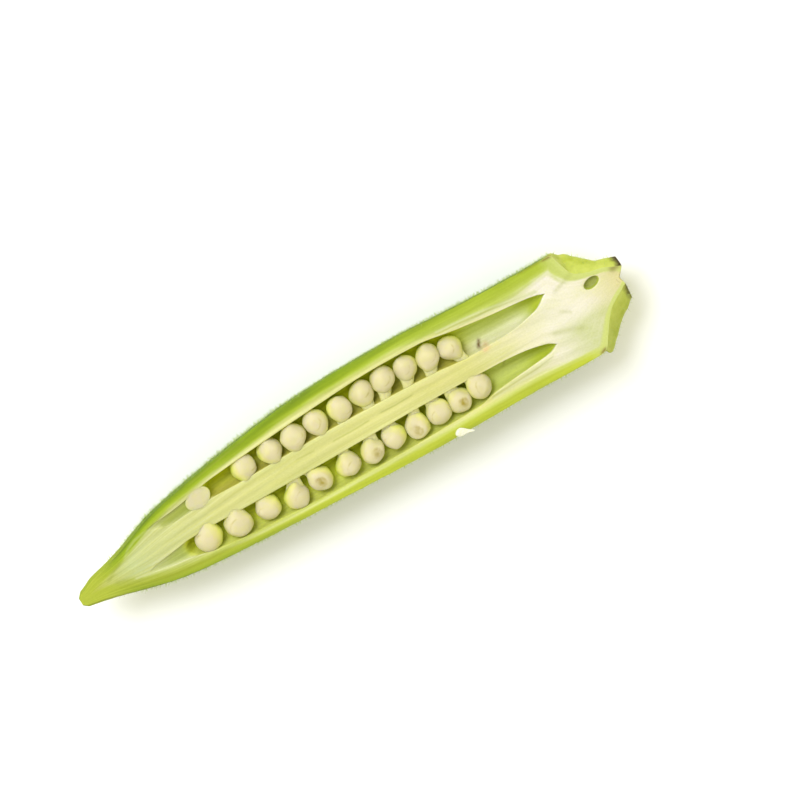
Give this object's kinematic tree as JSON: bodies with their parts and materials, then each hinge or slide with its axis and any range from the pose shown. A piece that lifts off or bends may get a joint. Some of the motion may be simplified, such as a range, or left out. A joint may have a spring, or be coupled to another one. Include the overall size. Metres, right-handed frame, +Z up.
{
  "type": "halved okra pod",
  "caption": "Fresh okra pod cut lengthwise, lying cut face up, with its seed chambers open and round pale seeds on a pale column.",
  "frame": {"origin": "middle of the underside's outline, on the surface that the half lies on", "axes": "+X along the pod from its tip to its stem, +Z up out of the cut face, +Y across it towards the wall beside the longer seed chamber"},
  "size_m": [0.115, 0.0242, 0.0135],
  "materials": {
    "okra_flesh": "moist cut plant flesh with a finely haired green skin"
  },
  "bodies": {
    "root": {"okra_pod_half": "okra_flesh"}
  },
  "joints": []
}
